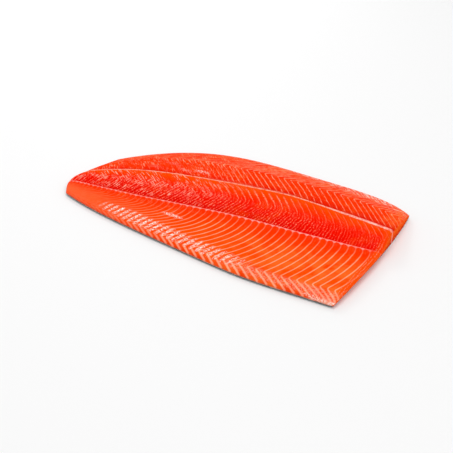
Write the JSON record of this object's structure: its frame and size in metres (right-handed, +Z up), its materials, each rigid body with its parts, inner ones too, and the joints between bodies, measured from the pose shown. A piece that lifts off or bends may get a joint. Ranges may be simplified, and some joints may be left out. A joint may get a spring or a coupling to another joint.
{
  "type": "raw salmon fillet",
  "caption": "Raw skin-on salmon fillet portion, lying skin side down, with flaky muscle strips parted by pale seams, a thin tapered tail end and a straight knife cut at the thick end.",
  "frame": {"origin": "centre of the bounding box, on the surface that the skin rests on", "axes": "+X along the fish from the thin tail end to the thick knife cut, +Y across it from the dorsal edge at the front to the thin fatty belly edge at the back, +Z up, out of the flesh"},
  "size_m": [0.3394, 0.204, 0.0172],
  "materials": {
    "salmon_flesh": "wet, glossy orange-red raw flesh with pale connective-tissue lines between the flakes",
    "salmon_skin": "moist scaled skin, blue-grey on the dorsal side and silvery to white towards the belly edge"
  },
  "bodies": {
    "root": {"flesh": "salmon_flesh", "skin": "salmon_skin"}
  },
  "joints": []
}
